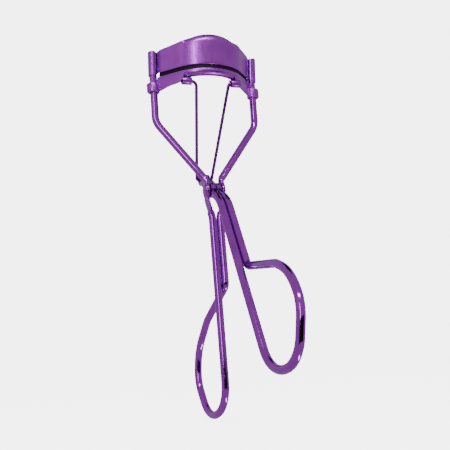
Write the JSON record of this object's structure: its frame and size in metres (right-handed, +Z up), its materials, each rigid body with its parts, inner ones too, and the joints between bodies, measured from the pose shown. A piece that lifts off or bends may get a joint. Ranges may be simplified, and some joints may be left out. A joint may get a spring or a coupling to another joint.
{
  "type": "eyelash curler",
  "caption": "Hand-held eyelash curler: a bent wire frame with a curved upper jaw, a sliding lower jaw with a soft pad, and a wire lever with finger loops.",
  "frame": {"origin": "midway between the two posts, in the plane where the jaws meet", "axes": "+X along the lash line from post to post, +Z up the posts away from the handles, -Y to the side that faces away from the wearer"},
  "size_m": [0.0362, 0.0707, 0.1141],
  "materials": {
    "wire": "glossy metallic violet lacquer over steel wire",
    "plate": "glossy metallic violet lacquer over pressed steel",
    "rivet": "glossy metallic violet lacquer, worn at the rim",
    "washer": "dark violet lacquer",
    "link": "dark violet lacquer over thin spring wire",
    "pad": "matt black silicone"
  },
  "bodies": {
    "frame": {"frame_wire": "wire", "upper_jaw": "plate", "hinge_rivet": "rivet", "hinge_washer_left": "washer", "hinge_washer_right": "washer"},
    "lever": {"lever_wire": "wire"},
    "lower_jaw": {"lower_jaw": "plate", "pad": "pad"},
    "link": {"link_wire": "link"}
  },
  "joints": [
    {"name": "handle_pivot", "type": "hinge", "parent": "frame", "child": "lever", "pos_m": [0, -0.0034, -0.037], "axis": [-1, 0, 0], "range_deg": [0, 30]},
    {"name": "jaw_slide", "type": "slide", "parent": "frame", "child": "lower_jaw", "axis": [0, 0, -1], "range_m": [0, 0.00603]},
    {"name": "link_swing", "type": "hinge", "parent": "lower_jaw", "child": "link", "pos_m": [0, -0.0072, -0.0044], "axis": [1, 0, 0], "range_deg": [0, 3.5]}
  ],
  "couplings": [
    {"joint": "jaw_slide", "follows": "handle_pivot", "m_per_rad": 0.0115},
    {"joint": "link_swing", "follows": "handle_pivot", "ratio": 0.113}
  ]
}
